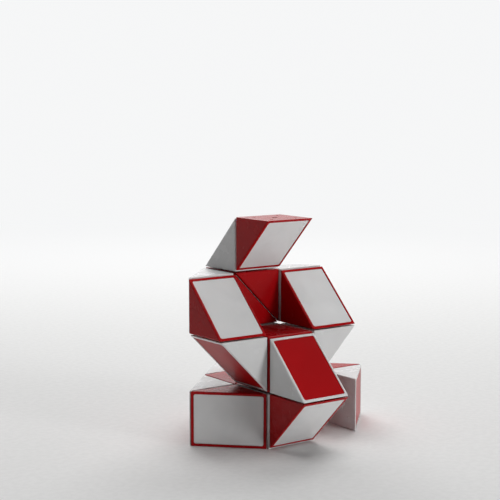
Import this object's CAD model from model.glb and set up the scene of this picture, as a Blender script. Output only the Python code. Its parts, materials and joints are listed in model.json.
import json
import math

import bpy
from mathutils import Euler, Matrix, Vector


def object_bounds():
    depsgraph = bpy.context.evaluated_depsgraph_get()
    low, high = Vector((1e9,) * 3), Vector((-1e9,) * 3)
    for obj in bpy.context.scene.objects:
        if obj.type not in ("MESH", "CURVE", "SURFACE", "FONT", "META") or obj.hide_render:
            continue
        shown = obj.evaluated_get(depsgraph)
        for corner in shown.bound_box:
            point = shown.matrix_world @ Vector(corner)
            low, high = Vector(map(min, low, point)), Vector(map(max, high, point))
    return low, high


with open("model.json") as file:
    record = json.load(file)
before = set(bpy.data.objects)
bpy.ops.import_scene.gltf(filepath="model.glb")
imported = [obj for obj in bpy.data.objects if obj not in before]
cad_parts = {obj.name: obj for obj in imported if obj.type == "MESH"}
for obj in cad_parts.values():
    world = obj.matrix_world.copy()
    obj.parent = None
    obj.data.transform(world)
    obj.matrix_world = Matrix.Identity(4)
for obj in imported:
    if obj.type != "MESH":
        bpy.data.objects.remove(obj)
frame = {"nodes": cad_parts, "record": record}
cad_low, cad_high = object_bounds()

# Lengths are in metres, angles in degrees and colours linear, unless a name says otherwise.
MILLIMETRE = 0.001

# The camera, as fitted to the wedges' corners
IMAGE_PX = 500
FOCAL_PX = 1250.0
SENSOR_MM = 36.0
CAMERA_AZIMUTH = -36.0
CAMERA_ELEVATION = 6.7
CAMERA_DISTANCE = 0.4903
CAMERA_AIM = Vector((-0.0144, 0.0, 0.0741))
CLIP_START = CAMERA_DISTANCE / 100

RED = (0.38, 0.0035, 0.0055)
RED_WORN = (0.46, 0.045, 0.045)
WHITE = (0.70, 0.70, 0.70)
WHITE_WORN = (0.60, 0.595, 0.58)
STEEL = (0.56, 0.57, 0.58)
STEEL_DULL = (0.40, 0.40, 0.40)
PALE = (0.92, 0.925, 0.93)
FLOOR = (0.78, 0.78, 0.775)
SKY_TOP = (0.22, 0.225, 0.235)

# Plastics by their slot in the record: colour, colour where it is rubbed, roughness, shine and scatter
PLASTICS = {
    "red_shell": (RED, RED_WORN, 0.25, 0.10, 0.0),
    "red_cover": (RED, RED_WORN, 0.30, 0.10, 0.0),
    "white_shell": (WHITE, WHITE_WORN, 0.25, 0.30, 0.15),
    "white_cover": (WHITE, WHITE_WORN, 0.30, 0.30, 0.15),
}
PLASTIC_IOR = 1.5
SCATTER_RADIUS = (1.0, 0.9, 0.8)
SCATTER_DEPTH = 0.0008

# Marks on the plastics. PER_MM says how many lie in a millimetre, LIMITS between which values of its noise a
# mark sets in, WAVER how far the noise is bent, and HEIGHT or DEPTH how far the mark stands out or goes in.
FLOW_PER_MM = 0.07
FLOW_WAVER = 0.6
FLOW_LIMITS = (0.3, 0.7)
FLOW_SHADES = (0.95, 1.03)
FLOW_HEIGHT = 0.00005
PEEL_PER_MM = 0.9
PEEL_HEIGHT = 0.000005
GRAIN_PER_MM = 7.0
GRAIN_HEIGHT = 0.0000016
SPECKS_PER_MM = 5.0
SPECK_LIMITS = (0.62, 0.80)
SPECK_SHARE = 0.35
SMEARS_PER_MM = 0.16
SMEAR_WAVER = 0.4
SMEAR_LIMITS = (0.50, 0.70)
SMEAR_ROUGHNESS = 0.05
RUBS_PER_MM = 0.5
RUB_LIMITS = (0.35, 0.70)
RUB_SHARE = 0.45
MARK_ROUGHNESS = 0.07

# An edge sets in where the rounded normal turns away from the flat one, by the cosine between them.
EDGE_WIDTH = 0.0005
EDGE_SAMPLES = 6
EDGE_LIMITS = (0.995, 0.86)

# Hairlines: how each set's sheets are turned, and how many of them lie in a millimetre
HAIRLINES = [((20, 35, 10), 1.6), ((70, -25, 100), 1.3), ((0, 70, 30), 1.4)]
HAIRLINE_DEPTH = 0.000002
SHEET_STRETCH = (1.0, 0.03, 0.03)
SHEET_MIDDLE = 0.5
SHEET_LIMITS = (0.012, 0.0)
BREAKS_PER_MM = 0.12
BREAK_LIMITS = (0.52, 0.66)
CROSSING_LIMITS = (0.75, 0.45)

STEEL_ROUGHNESS = (0.22, 0.42)
DRAWN_STRETCH = (8.0, 8.0, 0.4)
DRAWN_PER_MM = 1.2
DRAWN_LIMITS = (0.25, 0.75)
DRAWN_HEIGHT = 0.000006
DULL_PER_MM = 0.9
DULL_LIMITS = (0.45, 0.70)

# The floor fades into the surrounding between two distances from the origin. The surrounding turns darker
# between two heights, as sines of the elevation, and lights the object more weakly than it shows.
FLOOR_SIZE = 12.0
FLOOR_GRAIN_PER_M = 400.0
FLOOR_GRAIN_LIMITS = (0.3, 0.7)
FLOOR_SHADES = (0.98, 1.02)
FADE_LIMITS = (0.15, 0.9)
SKY_LIMITS = (0.25, 0.85)
WORLD_STRENGTH = 0.04

# Soft boxes: name, place, size, watts, and whether glossy surfaces mirror them
LAMPS = [
    ("overhead", (0.0, 0.0, 1.2), 0.8, 6.4, True),
    ("back", (0.3, 0.9, 0.7), 0.6, 5.5, True),
    ("back_right", (0.7, 0.5, 0.8), 0.6, 4.9, True),
    ("low_front", (0.5, -1.4, 0.2), 0.36, 9.6, False),
]


def radians(degrees):
    return [math.radians(angle) for angle in degrees]


class Nodes:
    """A material's or a world's node tree, with one method for each kind of step that is used here."""

    def __init__(self, owner):
        owner.use_nodes = True
        self.tree = owner.node_tree
        self.tree.nodes.clear()

    def add(self, kind, **settings):
        node = self.tree.nodes.new(kind)
        for name, value in settings.items():
            setattr(node, name, value)
        return node

    def put(self, value, socket):
        """Links an output socket to the input, or sets the input to a plain value."""
        if isinstance(value, bpy.types.NodeSocket):
            self.tree.links.new(value, socket)
        else:
            socket.default_value = value

    def output(self, shader, kind="ShaderNodeOutputMaterial"):
        self.put(shader.outputs[0], self.add(kind).inputs["Surface"])

    def math(self, operation, a, b=0.0):
        node = self.add("ShaderNodeMath", operation=operation)
        self.put(a, node.inputs[0])
        self.put(b, node.inputs[1])
        return node.outputs[0]

    def dot(self, a, b):
        node = self.add("ShaderNodeVectorMath", operation="DOT_PRODUCT")
        self.put(a, node.inputs[0])
        self.put(b, node.inputs[1])
        return node.outputs["Value"]

    def spread(self, value, limits, to=(0.0, 1.0)):
        """Carries a value between two limits over to another stretch, with eased ends."""
        node = self.add("ShaderNodeMapRange", interpolation_type="SMOOTHSTEP")
        for k, v in enumerate((value, *limits, *to)):
            self.put(v, node.inputs[k])
        return node.outputs[0]

    def mix(self, share, a, b):
        node = self.add("ShaderNodeMix", data_type="RGBA")
        self.put(share, node.inputs["Factor"])
        self.put((*a, 1.0) if isinstance(a, tuple) else a, node.inputs["A"])
        self.put((*b, 1.0) if isinstance(b, tuple) else b, node.inputs["B"])
        return node.outputs["Result"]

    def noise(self, where, scale, detail=2.0, roughness=0.5, waver=0.0):
        node = self.add("ShaderNodeTexNoise")
        self.put(where, node.inputs["Vector"])
        self.put(scale, node.inputs["Scale"])
        self.put(detail, node.inputs["Detail"])
        self.put(roughness, node.inputs["Roughness"])
        self.put(waver, node.inputs["Distortion"])
        return node.outputs["Fac"]

    def bump(self, height, distance, under=None):
        """A bump of a given height, on top of another one."""
        node = self.add("ShaderNodeBump")
        self.put(1.0, node.inputs["Strength"])
        self.put(distance, node.inputs["Distance"])
        self.put(height, node.inputs["Height"])
        if under is not None:
            self.put(under, node.inputs["Normal"])
        return node.outputs["Normal"]

    def coordinate(self, kind):
        return self.add("ShaderNodeTexCoord").outputs[kind]

    def millimetres(self, stretch=(1.0, 1.0, 1.0), turn=(0.0, 0.0, 0.0)):
        """The place on the piece in millimetres, turned and then stretched for streaks."""
        node = self.add("ShaderNodeMapping", vector_type="TEXTURE")
        self.put(self.coordinate("Object"), node.inputs["Vector"])
        self.put([MILLIMETRE / s for s in stretch], node.inputs["Scale"])
        self.put(radians(turn), node.inputs["Rotation"])
        return node.outputs["Vector"]


def edge_mask(nodes):
    """1 along the edges of a piece and 0 on its flat faces."""
    rounded = nodes.add("ShaderNodeBevel", samples=EDGE_SAMPLES)
    nodes.put(EDGE_WIDTH, rounded.inputs["Radius"])
    flat = nodes.add("ShaderNodeNewGeometry").outputs["True Normal"]
    return nodes.spread(nodes.dot(rounded.outputs["Normal"], flat), EDGE_LIMITS)


def hairlines(nodes, turn, per_mm):
    """Thin broken lines: the cuts of many thin sheets, on faces that cross those sheets."""
    sheets = nodes.noise(nodes.millimetres(SHEET_STRETCH, turn), per_mm, detail=1.0)
    line = nodes.spread(nodes.math("ABSOLUTE", nodes.math("SUBTRACT", sheets, SHEET_MIDDLE)), SHEET_LIMITS)
    broken = nodes.spread(nodes.noise(nodes.millimetres(), BREAKS_PER_MM, detail=1.0), BREAK_LIMITS)
    sheet_axis = Euler(radians(turn)).to_matrix() @ Vector((1.0, 0.0, 0.0))
    along = nodes.math("ABSOLUTE", nodes.dot(nodes.coordinate("Normal"), sheet_axis))
    return nodes.math("MULTIPLY", nodes.math("MULTIPLY", line, broken), nodes.spread(along, CROSSING_LIMITS))


def moulded_plastic(name, colour, worn, roughness, shine, scatter):
    """Glossy moulded plastic with faint flow marks, orange peel, handling marks and rubbed edges."""
    material = bpy.data.materials.new(name)
    nodes = Nodes(material)
    place = nodes.millimetres()
    flow = nodes.noise(place, FLOW_PER_MM, waver=FLOW_WAVER)
    peel = nodes.noise(place, PEEL_PER_MM)
    grain = nodes.noise(place, GRAIN_PER_MM, detail=1.0)
    specks = nodes.spread(nodes.noise(place, SPECKS_PER_MM), SPECK_LIMITS, (0.0, SPECK_SHARE))
    smears = nodes.noise(place, SMEARS_PER_MM, detail=3.0, roughness=0.6, waver=SMEAR_WAVER)
    smears = nodes.spread(smears, SMEAR_LIMITS)
    rubs = nodes.spread(nodes.noise(place, RUBS_PER_MM, detail=3.0), RUB_LIMITS)
    rubbed = nodes.math("MULTIPLY", edge_mask(nodes), rubs)
    lines = 0.0
    for turn, per_mm in HAIRLINES:
        lines = nodes.math("MAXIMUM", lines, hairlines(nodes, turn, per_mm))

    darker, lighter = [tuple(shade * c for c in colour) for shade in FLOW_SHADES]
    base = nodes.mix(nodes.spread(flow, FLOW_LIMITS), darker, lighter)
    base = nodes.mix(specks, base, darker)
    base = nodes.mix(nodes.math("MULTIPLY", rubbed, RUB_SHARE), base, worn)

    smeared = nodes.spread(smears, (0.0, 1.0), (roughness, roughness + SMEAR_ROUGHNESS))
    marked = nodes.math("MULTIPLY", nodes.math("MAXIMUM", lines, rubbed), MARK_ROUGHNESS)
    relief = nodes.bump(flow, FLOW_HEIGHT)
    relief = nodes.bump(peel, PEEL_HEIGHT, relief)
    relief = nodes.bump(grain, GRAIN_HEIGHT, relief)
    relief = nodes.bump(nodes.math("SUBTRACT", 1.0, lines), HAIRLINE_DEPTH, relief)

    shader = nodes.add("ShaderNodeBsdfPrincipled")
    nodes.put(base, shader.inputs["Base Color"])
    nodes.put(nodes.math("ADD", smeared, marked), shader.inputs["Roughness"])
    nodes.put(relief, shader.inputs["Normal"])
    nodes.put(PLASTIC_IOR, shader.inputs["IOR"])
    nodes.put(shine, shader.inputs["Specular IOR Level"])
    if scatter:
        nodes.put(scatter, shader.inputs["Subsurface Weight"])
        nodes.put(SCATTER_RADIUS, shader.inputs["Subsurface Radius"])
        nodes.put(SCATTER_DEPTH, shader.inputs["Subsurface Scale"])
    nodes.output(shader)
    return material


def plated_steel(name):
    """Zinc-plated steel with fine drawing lines and dull spots."""
    material = bpy.data.materials.new(name)
    nodes = Nodes(material)
    drawn = nodes.noise(nodes.millimetres(DRAWN_STRETCH), DRAWN_PER_MM)
    dull = nodes.spread(nodes.noise(nodes.millimetres(), DULL_PER_MM, detail=3.0), DULL_LIMITS)
    shader = nodes.add("ShaderNodeBsdfPrincipled")
    nodes.put(nodes.mix(dull, STEEL, STEEL_DULL), shader.inputs["Base Color"])
    nodes.put(nodes.spread(drawn, DRAWN_LIMITS, STEEL_ROUGHNESS), shader.inputs["Roughness"])
    nodes.put(nodes.bump(drawn, DRAWN_HEIGHT), shader.inputs["Normal"])
    nodes.put(1.0, shader.inputs["Metallic"])
    nodes.output(shader)
    return material


def seen_rays(nodes):
    """1 for rays that show a surface as it is: to the camera, in a gloss or through glass."""
    path = nodes.add("ShaderNodeLightPath")
    seen = nodes.math("MAXIMUM", path.outputs["Is Camera Ray"], path.outputs["Is Glossy Ray"])
    return nodes.math("MAXIMUM", seen, path.outputs["Is Transmission Ray"])


def make_world():
    """A pale surrounding that is darker overhead, and gives an even soft light."""
    world = bpy.data.worlds.new("studio")
    bpy.context.scene.world = world
    nodes = Nodes(world)
    direction = nodes.add("ShaderNodeSeparateXYZ")
    nodes.put(nodes.coordinate("Generated"), direction.inputs[0])
    colour = nodes.mix(nodes.spread(direction.outputs["Z"], SKY_LIMITS), PALE, SKY_TOP)
    strength = nodes.spread(seen_rays(nodes), (0.0, 1.0), (WORLD_STRENGTH, 1.0))
    background = nodes.add("ShaderNodeBackground")
    nodes.put(colour, background.inputs["Color"])
    nodes.put(strength, background.inputs["Strength"])
    nodes.output(background, "ShaderNodeOutputWorld")


def floor_material():
    """Pale and matt near the object, and as bright as the surrounding far from it."""
    material = bpy.data.materials.new("floor")
    nodes = Nodes(material)
    place = nodes.coordinate("Object")
    grain = nodes.spread(nodes.noise(place, FLOOR_GRAIN_PER_M), FLOOR_GRAIN_LIMITS, FLOOR_SHADES)
    tint = nodes.add("ShaderNodeVectorMath", operation="SCALE")
    nodes.put(FLOOR, tint.inputs[0])
    nodes.put(grain, tint.inputs["Scale"])
    matt = nodes.add("ShaderNodeBsdfDiffuse")
    nodes.put(tint.outputs[0], matt.inputs["Color"])
    far = nodes.add("ShaderNodeEmission")
    nodes.put((*PALE, 1.0), far.inputs["Color"])
    away = nodes.add("ShaderNodeVectorMath", operation="LENGTH")
    nodes.put(place, away.inputs[0])
    faded = nodes.spread(away.outputs["Value"], FADE_LIMITS)
    both = nodes.add("ShaderNodeMixShader")
    nodes.put(nodes.math("MULTIPLY", seen_rays(nodes), faded), both.inputs[0])
    nodes.put(matt.outputs[0], both.inputs[1])
    nodes.put(far.outputs[0], both.inputs[2])
    nodes.output(both)
    return material


def make_floor():
    """A pale floor under the object that fades into the surrounding."""
    half = FLOOR_SIZE / 2
    corners = [(-half, -half, 0), (half, -half, 0), (half, half, 0), (-half, half, 0)]
    mesh = bpy.data.meshes.new("floor")
    mesh.from_pydata(corners, [], [(0, 1, 2, 3)])
    mesh.materials.append(floor_material())
    floor = bpy.data.objects.new("floor", mesh)
    floor.location.z = cad_low.z
    bpy.context.scene.collection.objects.link(floor)


def make_lamp(name, place, size, watts, mirrored):
    """A square soft box that points at the object's middle."""
    light = bpy.data.lights.new(name, "AREA")
    light.size = size
    light.energy = watts
    lamp = bpy.data.objects.new(name, light)
    lamp.location = place
    lamp.visible_glossy = mirrored
    middle = (cad_low + cad_high) / 2
    lamp.rotation_euler = (middle - Vector(place)).to_track_quat("-Z", "Y").to_euler()
    bpy.context.scene.collection.objects.link(lamp)


def make_camera():
    """A camera at the fitted angle and distance, with the optical axis in the picture's middle."""
    azimuth, elevation = radians((CAMERA_AZIMUTH, CAMERA_ELEVATION))
    level = math.cos(elevation)
    back = Vector((math.sin(azimuth) * level, -math.cos(azimuth) * level, math.sin(elevation)))
    data = bpy.data.cameras.new("camera")
    data.sensor_width = SENSOR_MM
    data.lens = FOCAL_PX / IMAGE_PX * SENSOR_MM
    data.clip_start = CLIP_START
    camera = bpy.data.objects.new("camera", data)
    camera.location = CAMERA_AIM + CAMERA_DISTANCE * back
    camera.rotation_euler = (-back).to_track_quat("-Z", "Y").to_euler()
    bpy.context.scene.collection.objects.link(camera)
    bpy.context.scene.camera = camera


def dress_nodes():
    """Gives every node of the frame the material of its slot in the record."""
    materials = {slot: moulded_plastic(f"{slot}_plastic", *finish) for slot, finish in PLASTICS.items()}
    materials["steel"] = plated_steel("plated_steel")
    for part in frame["record"]["subparts"]:
        node = frame["nodes"][part["node"]]
        node.data.materials.clear()
        node.data.materials.append(materials[part["material_slot"]])


bpy.context.scene.view_settings.view_transform = "Standard"
make_camera()
make_world()
make_floor()
for soft_box in LAMPS:
    make_lamp(*soft_box)
dress_nodes()
